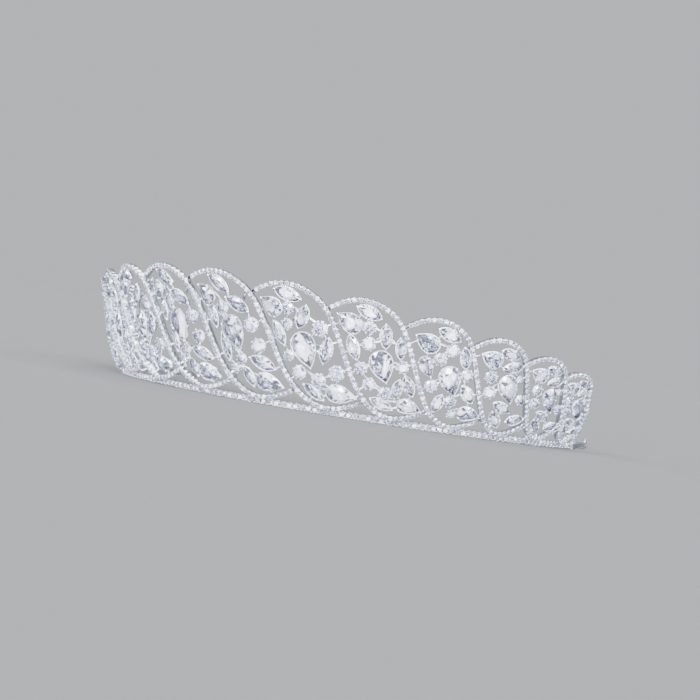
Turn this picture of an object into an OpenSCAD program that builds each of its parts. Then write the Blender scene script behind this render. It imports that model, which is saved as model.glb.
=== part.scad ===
// A diamond tiara: fifteen leaning scrolls on a curved rim, with cut stones in the cells between them.
// Millimetres. The origin is the front middle of the rim's underside, where the tiara rests.
// +X points right as the front is seen, +Y to the back and +Z up.
// A bearing is the angle in degrees round the rim's centre from the front, positive to the right.
// "up" is the height along the leaning wall from the middle of the rim, "out" the distance in front of it.
// Scrolls are counted by x, which is 0 at the front: the scrolls stand at -7.5, -6.5 ... 6.5.
// A cell x lies between scroll x - 1, on its left and below it, and scroll x, on its right and above it.

/* [Rim] */
// Radius of the middle of the rim band
rim_radius = 75; // [75:1:78]
// How far the rim reaches round each side
rim_reach = 108; // [104:1:112]
// Height of the rim band
rim_height = 2; // [1.8:0.1:2.4]
// Depth of the rim band, front to back
rim_depth = 1.6; // [1.5:0.1:2]

/* [Scrolls] */
// Outward lean of the wall, in degrees
lean = 16; // [16:1:19]
// Height of the tallest crest along the wall
crest_height = 35.5; // [35.5:0.5:37.5]
// Height of each scroll's foot along the wall
foot_height = 1.3; // [1.1:0.1:1.4]
// How far the scrolls stand in front of the rim's wall above their feet
relief = 3; // [2.9:0.1:3.5]
// The same at the rim
rim_relief = 1; // [0.9:0.1:1.1]
// Width of a scroll's ribbon, seen from the front
ribbon_width = 1.5; // [1.3:0.1:1.5]
// Depth of the ribbon behind its middle line
ribbon_back = 1.3; // [1.2:0.1:1.3]
// Depth of the ribbon in front of its middle line
ribbon_front = 0.7; // [0.6:0.1:0.8]
// How far a scroll's beginning dips behind the scroll to its left
tuck = 1.7; // [1.5:0.1:1.8]
// Spacing of the scrolls on the left, as a share of the right
left_share = 0.91; // [0.89:0.01:0.93]

/* [Stones] */
// How far the stones' girdles stand in front of the wall
stone_lift = 0.3; // [0.2:0.05:0.35]
// How far the stones dip behind the scroll on their left
stone_dip = 2.4; // [2.4:0.1:2.6]
// Height of a stone above its girdle, as a share of its width
crown_share = 0.16; // [0.14:0.01:0.2]
// Depth of a stone below its girdle, as a share of its width
pavilion_share = 0.42; // [0.38:0.01:0.44]
// Size of a stone's table, as a share of its outline
table_share = 0.58; // [0.5:0.01:0.65]
// Clear space between a stone and the metal that carries it
stone_gap = 0.14; // [0.12:0.01:0.2]

/* [Lattice] */
// Radius of the wires that carry the stones
bar_radius = 0.48; // [0.4:0.01:0.6]

/* [Fittings] */
// Bearing of the two loops behind the rim
loop_bearing = 75; // [70:1:80]
// Outer size of a loop
loop_size = 4.5; // [4:0.1:4.6]
// Thickness of the loops' wire
wire = 0.9; // [0.8:0.1:1]
// Length of the ring at each end of the rim
end_ring_length = 4; // [3.6:0.1:4.6]
// Height of the ring at each end of the rim
end_ring_height = 3; // [2.6:0.1:3.2]

/* [Hidden] */
FIRST = -7.5;
SCROLLS = 15;
CELLS = 14;
XS = [for (i = [0:SCROLLS - 1]) FIRST + i];
RIM_STEPS = 54;

// Spacing of the scrolls in degrees at the front, and how it closes up to the sides
PITCH = 14.6;
PITCH_FADE = 0.038;
// Span of a scroll in spacings: at the front, its loss to each side, its least, and the left's excess
SPAN = 2.25;
SPAN_FADE = 0.1;
LEAST_SPAN = 1.8;
LEFT_SPAN = 1.05;
// Bearing of the tallest place, and how fast the crests fall on the right and on the left
CREST_BEARING = 8;
FALL_RIGHT = 0.66;
FALL_LEFT = 0.7;
// Height at which the wall has reached its full relief
RELIEF_HEIGHT = 12;

// Height below which the rising end of the scroll before narrows a cell
TOE_HEIGHT = 8;

// One scroll, from its tucked beginning over its crest to its foot and up to its end
// share of the span, share of the height
SCROLL = [
    [-0.2, 0.55], [-0.1, 0.76], [0, 0.88], [0.07, 0.94], [0.15, 0.985], [0.23, 1], [0.31, 0.99],
    [0.39, 0.95], [0.46, 0.89], [0.52, 0.8], [0.58, 0.66], [0.64, 0.5], [0.7, 0.34], [0.76, 0.21],
    [0.83, 0.105], [0.91, 0.035], [1, 0], [1.08, 0.008], [1.16, 0.04], [1.24, 0.09], [1.32, 0.155],
    [1.4, 0.23], [1.48, 0.32],
];
CREST_SHARE = 0.23;
STROKE = [
    for (i = [len(SCROLL) - 1:-1:0])
        if (SCROLL[i][0] >= CREST_SHARE && SCROLL[i][0] <= 1) [SCROLL[i][1], SCROLL[i][0]]
];

// Shares of the span: where the search for a scroll's hidden ends begins, its step, and the two free ends
START_FROM = 0.1;
END_FROM = 1.05;
END_STEP = 0.01;
FREE_START = 0.44;
FREE_END = 0.95;
// Shares of the span over which a scroll rises at its beginning and sinks at its end, and how far it
// sinks, as a share of the tuck
RISE = 0.45;
SINK = 0.3;
SINK_SHARE = 0.6;
// Share of the span at each end of a scroll that takes no further point
END_ROOM = 0.02;

// Way of a pear's culet from the middle to the round end, as a share of its length less its width
CULET_SHIFT = 0.25;
// Corners of the section of a pear's seat
// share of the outline, share of the stone's depth, drop below that, extra width
SEAT_SECTION = [[1, 0, 0.15, 0.7], [0.82, 0.18, 0.26, 0], [0.6, 1, 0.4, 0]];

// Height of the loops above the floor, and bearing of the end rings past the rim's ends
LOOP_LIFT = 0.15;
END_RING_TURN = 1.2;

// Cuts of the stones
ROUND = 0;
MARQUISE = 1;
SIDE = 2;
UPPER = 3;
CENTRE = 4;
LOWER = 5;

// Stones of one cell. The tip of a pear turned by 0 points right.
// cut, way from the left scroll, height, turn, length, width
LAYOUT_D = [
    [UPPER, 4.1, 28.6, 148, 7.7, 5.4],
    [MARQUISE, 13.2, 32, 152, 8, 3.6],
    [ROUND, 8.2, 25.2, 0, 3.9, 3.9],
    [MARQUISE, 14.4, 26.8, 158, 8.2, 3.6],
    [MARQUISE, 3, 22.8, 120, 7.6, 3.4],
    [CENTRE, 8.6, 18.4, -62, 10.5, 7],
    [ROUND, 16, 21.6, 0, 4.4, 4.4],
    [ROUND, 15.4, 15.9, 0, 4.4, 4.4],
    [MARQUISE, 3.4, 14.2, 115, 8.2, 3.4],
    [ROUND, 7.3, 11.3, 0, 3.2, 3.2],
    [MARQUISE, 14.2, 11.1, 165, 8.4, 3.6],
    [LOWER, 12.2, 5.6, -8, 8.4, 5.6],
    [MARQUISE, 6.4, 6.6, 122, 6.3, 3.2],
    [ROUND, 3.2, 8.4, 0, 2.9, 2.9],
];
LAYOUT_E = [
    [UPPER, 4.1, 28.1, 155, 7.4, 5.2],
    [MARQUISE, 13, 32, 168, 8.2, 3.8],
    [ROUND, 9.3, 28, 0, 3.6, 3.6],
    [MARQUISE, 12.7, 26.2, 75, 7, 3.6],
    [MARQUISE, 2.8, 20.6, 125, 7.5, 3.3],
    [ROUND, 6.4, 23.4, 0, 3.4, 3.4],
    [ROUND, 16.4, 23.6, 0, 4.6, 4.6],
    [CENTRE, 8.9, 16.8, -64, 10.5, 7],
    [MARQUISE, 15.4, 17.6, 84, 7.6, 3.6],
    [ROUND, 2.9, 14.6, 0, 3.2, 3.2],
    [ROUND, 3.9, 10.2, 0, 4.2, 4.2],
    [ROUND, 9, 8.8, 0, 4.2, 4.2],
    [ROUND, 15.6, 11.6, 0, 4.6, 4.6],
    [MARQUISE, 4.6, 5.2, 150, 7.2, 3.2],
    [LOWER, 13, 5.7, -4, 8.4, 5.4],
];
LAYOUT_F = [
    [UPPER, 5, 27, 155, 7.8, 5.4],
    [MARQUISE, 13, 30.4, 162, 7.4, 3.6],
    [ROUND, 10.4, 26.2, 0, 3.8, 3.8],
    [ROUND, 8.4, 21.6, 0, 3.9, 3.9],
    [MARQUISE, 14.2, 24.4, 100, 7, 3.4],
    [MARQUISE, 17.3, 21.6, 102, 6.2, 2.8],
    [MARQUISE, 3.4, 20, 115, 7.4, 3.4],
    [CENTRE, 10, 15.6, -66, 9.4, 6.4],
    [ROUND, 3.6, 14.3, 0, 3.7, 3.7],
    [ROUND, 4.2, 10.1, 0, 3.7, 3.7],
    [ROUND, 16, 16.4, 0, 3.7, 3.7],
    [ROUND, 7.7, 8, 0, 4, 4],
    [MARQUISE, 12, 9.9, 86, 5.8, 2.8],
    [MARQUISE, 15.9, 11.3, 120, 6.4, 3],
    [MARQUISE, 4.7, 4.9, 163, 6.8, 3],
    [LOWER, 12.8, 5.2, -12, 6.9, 4.4],
];
LAYOUT_G = [
    [UPPER, 6, 24.8, 158, 7.4, 5.2],
    [MARQUISE, 13.6, 27.8, 160, 7.2, 3.4],
    [ROUND, 12.8, 23.5, 0, 3.8, 3.8],
    [ROUND, 8.4, 20.4, 0, 3.8, 3.8],
    [MARQUISE, 16.2, 21.9, 108, 6.4, 3],
    [SIDE, 3.9, 17.6, -55, 6.2, 3.8],
    [CENTRE, 10, 14.6, -64, 8.8, 6],
    [ROUND, 15.6, 17, 0, 3.5, 3.5],
    [ROUND, 4, 12.4, 0, 3.8, 3.8],
    [MARQUISE, 4.4, 7.7, 78, 5.6, 3],
    [ROUND, 8.3, 8.7, 0, 3.5, 3.5],
    [MARQUISE, 14.3, 11.6, 135, 6.4, 3.2],
    [ROUND, 7.1, 5.2, 0, 2.6, 2.6],
    [LOWER, 12.7, 5.8, -8, 6.8, 4.5],
];
LAYOUT_H = [
    [UPPER, 6.2, 23, 165, 6.6, 4.7],
    [MARQUISE, 12.6, 25.1, 168, 6.4, 3],
    [MARQUISE, 12.6, 21.3, -165, 6.4, 3.2],
    [ROUND, 5.2, 17.7, 0, 3.7, 3.7],
    [ROUND, 4.2, 13.1, 0, 3.7, 3.7],
    [CENTRE, 10.3, 14.8, -62, 8.8, 5.7],
    [MARQUISE, 7.4, 9.2, 160, 6.2, 3],
    [ROUND, 14.9, 18.3, 0, 2.1, 2.1],
    [ROUND, 14.3, 12.2, 0, 3.1, 3.1],
    [MARQUISE, 11.2, 6, 15, 5.8, 3.2],
    [MARQUISE, 4.5, 5.4, 125, 5.6, 3],
];
LAYOUTS = [LAYOUT_D, LAYOUT_E, LAYOUT_F, LAYOUT_G, LAYOUT_H];
// Ends of the wires that carry a cell's stones: soldered to its own scroll or to the one before
OWN = -1;
PREVIOUS = -2;
// Each wire's way below the stones of a layout, by their rows
WIRES = [
    [[OWN, 0, 2, 3, OWN], [1, OWN], [4, 5, 6, OWN], [8, 9, 10, OWN], [7, OWN], [13, 12, 11, PREVIOUS]],
    [[OWN, 0, 2, 3, 6, OWN], [1, OWN], [4, 5, 3], [9, 7, 8, OWN], [10, 11, 12, OWN], [13, 14, PREVIOUS]],
    [
        [OWN, 0, 2, 4, 5, OWN], [1, OWN], [6, 3, 4], [8, 7, 10, OWN], [9, 11, 12, 13, OWN],
        [14, 15, PREVIOUS],
    ],
    [[OWN, 0, 2, 4, OWN], [1, OWN], [5, 3, 2], [8, 6, 7, OWN], [9, 10, 11, OWN], [12, 13, PREVIOUS]],
    [[OWN, 0, 3], [0, 1, OWN], [2, 7, OWN], [4, 5, 8, OWN], [10, 6, 9, PREVIOUS]],
];
// The cell that each layout is drawn for, and the layout of each cell from left to right
HOME = [0.5, 1.5, 2.5, 3.5, 4.5];
CELL_LAYOUT = [4, 4, 4, 3, 2, 1, 0, 0, 1, 2, 3, 4, 4, 4];

// The wall
function axis_along(q) = [cos(q), sin(q), 0];
function axis_up(q) = [sin(lean) * sin(q), -sin(lean) * cos(q), cos(lean)];
function axis_out(q) = cross(axis_along(q), axis_up(q));
function wall_radius(up, out) = rim_radius + out + up * sin(lean);
function wall(q, up, out) =
    let (r = wall_radius(up, out))
    [r * sin(q), rim_radius - r * cos(q), rim_height / 2 + up * cos(lean)];
function unit(v) = v / norm(v);
function smooth(t) = let (s = min(1, max(0, t))) s * s * (3 - 2 * s);

// The scrolls
function side_share(x) = x > 0 ? 1 : left_share;
function bearing(x) = (PITCH * x - PITCH_FADE * pow(x, 3)) * side_share(x);
function pitch(x) = (PITCH - 3 * PITCH_FADE * x * x) * side_share(x);
function span(x) = pitch(x) * max(LEAST_SPAN, SPAN - SPAN_FADE * abs(x)) * (x > 0 ? 1 : LEFT_SPAN);
function crest(x) = crest_height * cos((x > 0 ? FALL_RIGHT : FALL_LEFT) * (bearing(x) - CREST_BEARING));
function scroll_up(x, u) = foot_height + (crest(x) - foot_height) * lookup(u, SCROLL);
function scroll_bearing(x, u) = bearing(x) + (u - 0.5) * span(x);
function share_at(x, q) = (q - bearing(x)) / span(x) + 0.5;
function stroke_bearing(x, up) =
    scroll_bearing(x, lookup((up - foot_height) / (crest(x) - foot_height), STROKE));
function relief_at(up) =
    rim_relief + (relief - rim_relief) * sin(90 * min(1, max(0, up) / RELIEF_HEIGHT));
function is_hidden(x, u, other) =
    let (up = scroll_up(other, share_at(other, scroll_bearing(x, u))))
    other < x ? scroll_up(x, u) <= up : scroll_up(x, u) >= up;
function start_share(x, u = START_FROM) =
    x <= FIRST ? FREE_START :
    u < SCROLL[0][0] || is_hidden(x, u, x - 1) ? u : start_share(x, u - END_STEP);
function end_share(x, u = END_FROM) =
    x >= FIRST + SCROLLS - 1 ? FREE_END :
    u > SCROLL[len(SCROLL) - 1][0] || is_hidden(x, u, x + 1) ? u : end_share(x, u + END_STEP);
function scroll_out(u, up, first, last) =
    relief_at(up) - tuck * (1 - smooth((u - first) / RISE))
    - SINK_SHARE * tuck * smooth((u - last + SINK) / SINK);
function scroll_shares(first, last) =
    concat(first, [for (p = SCROLL) if (p[0] > first + END_ROOM && p[0] < last - END_ROOM) p[0]], last);

// Middle line of a scroll, as rows of bearing, up and out
function scroll_line(x) =
    let (first = start_share(x), last = end_share(x))
    [
        for (u = scroll_shares(first, last))
            let (up = scroll_up(x, u))
            [scroll_bearing(x, u), up, scroll_out(u, up, first, last)]
    ];

// The stones
function cell_x(c) = FIRST + 1 + c;
function layout(c) = LAYOUTS[CELL_LAYOUT[c]];
function home(c) = HOME[CELL_LAYOUT[c]];
function cell_room(x, up) =
    (stroke_bearing(x, up) - stroke_bearing(x - 1, up)) * PI / 180 * wall_radius(up, relief);
function cell_wide(c) =
    (bearing(cell_x(c)) - bearing(cell_x(c) - 1)) / (bearing(home(c)) - bearing(home(c) - 1));
function cell_tall(c) = (crest(cell_x(c)) - foot_height) / (crest(home(c)) - foot_height);

// A placed stone: middle of the girdle, axes along, across and out, length, width, cut, share of the cell
function placed(c, row) =
    let (x = cell_x(c), wide = cell_wide(c), tall = cell_tall(c), size = min(1, wide, tall))
    let (up = foot_height + (row[2] - foot_height) * tall, room = cell_room(x, up))
    let (spread = (room - ribbon_width) / (cell_room(home(c), row[2]) - ribbon_width))
    let (fit = row[2] < TOE_HEIGHT ? min(spread, wide) : spread)
    let (way = ribbon_width / 2 + (row[1] - ribbon_width / 2) * fit, t = way / room)
    let (q = stroke_bearing(x - 1, up) + way / wall_radius(up, relief) * 180 / PI, dip = max(0, 1 - t))
    let (out = relief_at(up) - stone_dip * pow(dip, 3) + stone_lift)
    let (slope_along = 3 * stone_dip * dip * dip / room)
    let (bulge = (relief - rim_relief) * cos(90 * min(1, up / RELIEF_HEIGHT)))
    let (slope_up = bulge * PI / 2 / RELIEF_HEIGHT)
    let (along = unit(axis_along(q) + slope_along * axis_out(q)))
    let (face = unit(cross(along, axis_up(q) + slope_up * axis_out(q))))
    let (up_axis = cross(face, along), turn = row[3])
    [
        wall(q, up, out), along * cos(turn) + up_axis * sin(turn), up_axis * cos(turn) - along * sin(turn),
        face, row[4] * size, row[5] * size, row[0], t,
    ];
function cell_stones(c) = [for (row = layout(c)) placed(c, row)];

// Outlines of the cuts, eight points each. A pear's neck lies 0.55 of the way from the middle of its
// round end to its tip.
function marquise_outline(l, w) =
    let (r = (l * l / 4 + w * w / 4) / w, half = [for (x = [l / 2, l / 4, 0, -l / 4, -l / 2])
        [x, sqrt(r * r - x * x) - r + w / 2]])
    concat(half, [for (i = [3:-1:1]) [half[i][0], -half[i][1]]]);
function pear_outline(l, w) =
    let (c = w / 2 - l / 2, neck = [0.275 * l + 0.45 * c, 0.33 * w])
    concat(
        [[l / 2, 0], neck],
        [for (a = [80, 135, 180, 225, 280]) [c + w / 2 * cos(a), w / 2 * sin(a)]],
        [[neck[0], -neck[1]]]
    );
function round_outline(w) = [for (a = [0:45:315]) [w / 2 * cos(a), w / 2 * sin(a)]];
function outline(s) =
    s[6] == ROUND ? round_outline(s[5]) : s[6] == MARQUISE ? marquise_outline(s[4], s[5]) :
    pear_outline(s[4], s[5]);
function culet_shift(s) = s[6] > MARQUISE ? CULET_SHIFT * (s[5] - s[4]) : 0;
function on_stone(s, p, scale, out) = s[0] + scale * (p[0] * s[1] + p[1] * s[2]) + out * s[3];
function under_culet(s, way) = s[0] + culet_shift(s) * s[1] - (pavilion_share * s[5] + way) * s[3];

module gem(s) {
    shape = outline(s);
    points = concat(
        [for (p = shape) on_stone(s, p, table_share, crown_share * s[5])],
        [for (p = shape) on_stone(s, p, 1, 0)],
        [under_culet(s, 0)]
    );
    hull() polyhedron(points, [[for (i = [0:len(points) - 1]) i]]);
}

module stones_of_cut(c, cut) {
    for (row = layout(c)) if (row[0] == cut) color("aliceblue") gem(placed(c, row));
}

module marquises() {
    for (c = [0:CELLS - 1]) stones_of_cut(c, MARQUISE);
}

module rounds() {
    for (c = [0:CELLS - 1]) stones_of_cut(c, ROUND);
}

// A closed tube through rings of points, with its two ends capped
module swept(rings) {
    n = len(rings[0]);
    last = (len(rings) - 1) * n;
    sides = [
        for (r = [0:len(rings) - 2], k = [0:n - 1])
            let (a = r * n + k, b = r * n + (k + 1) % n)
            each [[a, b + n, b], [a, a + n, b + n]]
    ];
    polyhedron(
        [for (ring = rings) each ring],
        concat([[for (k = [0:n - 1]) k]], sides, [[for (k = [n - 1:-1:0]) last + k]])
    );
}

// A tube through rings of points that comes back to its beginning
module closed_ring(rings) {
    n = len(rings[0]);
    count = len(rings);
    polyhedron(
        [for (ring = rings) each ring],
        [
            for (r = [0:count - 1], k = [0:n - 1])
                let (s = (r + 1) % count, m = (k + 1) % n)
                each [[r * n + k, r * n + m, s * n + m], [r * n + k, s * n + m, s * n + k]]
        ]
    );
}

function ribbon_ring(line, i) =
    let (row = line[i], q = row[0], p = wall(q, row[1], row[2]))
    let (a = line[max(0, i - 1)], b = line[min(len(line) - 1, i + 1)])
    let (run = (b[0] - a[0]) * PI / 180 * wall_radius(row[1], row[2]), climb = b[1] - a[1])
    let (side = unit(-climb * axis_along(q) + run * axis_up(q)) * ribbon_width / 2)
    let (front = axis_out(q) * ribbon_front, back = axis_out(q) * ribbon_back)
    [p - side - back, p + side - back, p + side + front, p - side + front];

module scroll(x) {
    line = scroll_line(x);
    swept([for (i = [0:len(line) - 1]) ribbon_ring(line, i)]);
}

// Direction of a path at one of its points, halfway between the ways in and out
function direction(points, i) =
    let (last = len(points) - 1, here = points[i])
    let (before = i > 0 ? unit(here - points[i - 1]) : [0, 0, 0])
    let (after = i < last ? unit(points[i + 1] - here) : [0, 0, 0])
    unit(before + after);

// Three-sided sections of a wire along points, with one edge to the front
function wire_rings(points, front) = [
    for (i = [0:len(points) - 1])
        let (way = direction(points, i))
        let (side = unit(cross(way, front[i])), rise = cross(way, side))
        [for (k = [270, 30, 150]) points[i] + bar_radius * (cos(k) * side + sin(k) * rise)]
];

module bent_wire(points, front) {
    swept(wire_rings(points, front));
}

module straight_wire(points, front) {
    hull() polyhedron([for (ring = wire_rings(points, front)) each ring], [[0, 1, 2, 3, 4, 5]]);
}

// Where a wire passes below a stone
function knot(s) = under_culet(s, stone_gap + bar_radius);
function nearest(point, others) =
    let (ways = [for (p = others) norm(p - point)], i = search(min(ways), ways)[0]) others[i];
// Points inside a scroll's ribbon that a wire can end in
function solder_points(x) =
    [for (row = scroll_line(x)) wall(row[0], row[1], row[2] - ribbon_back / 2)];

module cell_lattice(c) {
    stones = cell_stones(c);
    over = solder_points(cell_x(c));
    under = solder_points(cell_x(c) - 1);
    for (path = WIRES[CELL_LAYOUT[c]]) {
        seats = [for (i = [0:len(path) - 1]) stones[path[i] >= 0 ? path[i] : path[i == 0 ? 1 : i - 1]]];
        points = [
            for (i = [0:len(path) - 1])
                path[i] == OWN ? nearest(seats[i][0], over) :
                path[i] == PREVIOUS ? nearest(seats[i][0], under) : knot(seats[i])
        ];
        front = [for (s = seats) s[3]];
        if (len(path) > 2) bent_wire(points, front);
        else straight_wire(points, front);
    }
}

// The seat below a pear's girdle
module seat(s) {
    fall = pavilion_share * s[5];
    closed_ring([
        for (p = outline(s))
            [for (corner = SEAT_SECTION)
                on_stone(s, p, corner[0] + corner[3] / s[5], -corner[1] * fall - corner[2])]
    ]);
}

module seats(c) {
    for (s = cell_stones(c)) if (s[6] == CENTRE || s[6] == LOWER) seat(s);
}

module rim_band() {
    translate([0, rim_radius, 0]) rotate([0, 0, 270 - rim_reach])
        rotate_extrude(angle = 2 * rim_reach, $fn = RIM_STEPS * 180 / rim_reach)
            translate([rim_radius - rim_depth / 2, 0]) square([rim_depth, rim_height]);
}

module wire_ring(length, height) {
    scale([length / height, 1, 1]) rotate([90, 0, 0]) rotate_extrude($fn = 10)
        translate([(height - wire) / 2, 0]) circle(d = wire, $fn = 5);
}

// Places a fitting at a bearing, x along the rim, y to the back and z up
module at_rim(q, out, z) {
    translate([0, rim_radius, 0]) rotate([0, 0, q]) translate([0, -rim_radius - out, z]) children();
}

module fittings() {
    for (side = [-1, 1]) {
        at_rim(side * loop_bearing, -rim_depth / 2, loop_size / 2 + LOOP_LIFT) rotate([0, 0, 90])
            wire_ring(loop_size, loop_size);
        at_rim(side * (rim_reach + END_RING_TURN), 0, end_ring_height / 2)
            wire_ring(end_ring_length, end_ring_height);
    }
}

module frame() {
    color("gainsboro") {
        rim_band();
        for (x = XS) scroll(x);
        for (c = [0:CELLS - 1]) {
            cell_lattice(c);
            seats(c);
        }
        fittings();
    }
}

// Names of the cells that hold a lower pear and a side pear
LOWER_CELLS = [for (c = [0:CELLS - 1]) if (CELL_LAYOUT[c] < 4) c];
SIDE_CELLS = [for (c = [0:CELLS - 1]) if (CELL_LAYOUT[c] == 3) c];

frame();
marquises();
rounds();
for (c = [0:CELLS - 1]) {
    stones_of_cut(c, UPPER);
    stones_of_cut(c, CENTRE);
}
for (i = [0:len(LOWER_CELLS) - 1])
    stones_of_cut(LOWER_CELLS[i], LOWER);
for (i = [0:len(SIDE_CELLS) - 1])
    stones_of_cut(SIDE_CELLS[i], SIDE);
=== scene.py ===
import math

import bpy
import numpy as np
from mathutils import Matrix, Vector


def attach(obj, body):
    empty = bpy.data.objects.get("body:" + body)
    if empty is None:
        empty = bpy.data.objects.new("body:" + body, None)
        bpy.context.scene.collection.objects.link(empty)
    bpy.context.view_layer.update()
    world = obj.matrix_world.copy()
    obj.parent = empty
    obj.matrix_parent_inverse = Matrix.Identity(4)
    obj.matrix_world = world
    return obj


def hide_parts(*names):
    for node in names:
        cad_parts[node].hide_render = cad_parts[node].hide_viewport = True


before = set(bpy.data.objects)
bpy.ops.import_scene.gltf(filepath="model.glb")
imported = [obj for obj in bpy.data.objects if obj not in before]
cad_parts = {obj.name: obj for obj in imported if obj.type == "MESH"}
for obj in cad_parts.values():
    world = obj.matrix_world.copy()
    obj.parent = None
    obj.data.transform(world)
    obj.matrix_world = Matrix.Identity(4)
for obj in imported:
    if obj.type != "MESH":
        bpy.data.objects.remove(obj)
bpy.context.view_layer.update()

# A diamond tiara: smooth scrolls and a rim, both set with a row of small stones, and the cut stones
# between the scrolls in claws, joined by short bars.
# Lengths are in millimetres and angles in degrees, as in the part's source, and the values down to the
# cells' layouts are the same as there. Points become metres when a piece is made.
# A bearing is the angle round the rim's centre from the front, "up" the height along the leaning wall
# from the middle of the rim, and "out" the distance in front of the wall.
# Scrolls are counted by x, which is 0 at the front. A cell x lies between scrolls x - 1 and x.
MM = 0.001

RIM_RADIUS = 75
RIM_REACH = 108
RIM_HEIGHT = 2
RIM_DEPTH = 1.6

LEAN = 16
CREST_HEIGHT = 35.5
FOOT_HEIGHT = 1.3
RELIEF = 3
RIM_RELIEF = 1
RELIEF_HEIGHT = 12
RIBBON_WIDTH = 1.5
RIBBON_BACK = 1.3
TUCK = 1.7
LEFT_SHARE = 0.91

STONE_LIFT = 0.3
STONE_DIP = 2.4
CROWN_SHARE = 0.16
PAVILION_SHARE = 0.42
TABLE_SHARE = 0.58
STONE_GAP = 0.14
BAR_RADIUS = 0.48

LOOP_BEARING = 75
LOOP_SIZE = 4.5
LOOP_LIFT = 0.15
WIRE = 0.9
END_RING_LENGTH = 4
END_RING_HEIGHT = 3
END_RING_TURN = 1.2

FIRST = -7.5
SCROLLS = 15
CELLS = 14
XS = [FIRST + i for i in range(SCROLLS)]

# Spacing of the scrolls in degrees at the front, and how it closes up to the sides
PITCH = 14.6
PITCH_FADE = 0.038
# Span of a scroll in spacings: at the front, its loss to each side, its least, and a factor on the left
SPAN = 2.25
SPAN_FADE = 0.1
LEAST_SPAN = 1.8
LEFT_SPAN = 1.05
# Bearing of the tallest place, and how fast the crests fall on the right and on the left
CREST_BEARING = 8
FALL_RIGHT = 0.66
FALL_LEFT = 0.7
# Height below which the rising end of the scroll before narrows a cell
TOE_HEIGHT = 8

# One scroll, from its tucked beginning over its crest to its foot and up to its end:
# share of the span, share of the height
SCROLL = np.array([
    (-0.2, 0.55), (-0.1, 0.76), (0, 0.88), (0.07, 0.94), (0.15, 0.985), (0.23, 1), (0.31, 0.99),
    (0.39, 0.95), (0.46, 0.89), (0.52, 0.8), (0.58, 0.66), (0.64, 0.5), (0.7, 0.34), (0.76, 0.21),
    (0.83, 0.105), (0.91, 0.035), (1, 0), (1.08, 0.008), (1.16, 0.04), (1.24, 0.09), (1.32, 0.155),
    (1.4, 0.23), (1.48, 0.32),
])
CREST_SHARE = 0.23
STROKE = np.array([(h, u) for u, h in SCROLL[::-1] if CREST_SHARE <= u <= 1])

# Shares of the span: where the search for a scroll's hidden ends begins, its step, and the two free ends
START_FROM = 0.1
END_FROM = 1.05
END_STEP = 0.01
FREE_START = 0.44
FREE_END = 0.95
# Shares of the span over which a scroll rises at its beginning and sinks at its end, and how far it
# sinks, as a share of the tuck
RISE = 0.45
SINK = 0.3
SINK_SHARE = 0.6
# Share of the span at each end of a scroll that takes no further point
END_ROOM = 0.02

# Way of a pear's culet from the middle to the round end, as a share of its length less its width
CULET_SHIFT = 0.25

# Cuts of the stones. The last four are pears.
ROUND, MARQUISE, SIDE, UPPER, CENTRE, LOWER = range(6)

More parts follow.
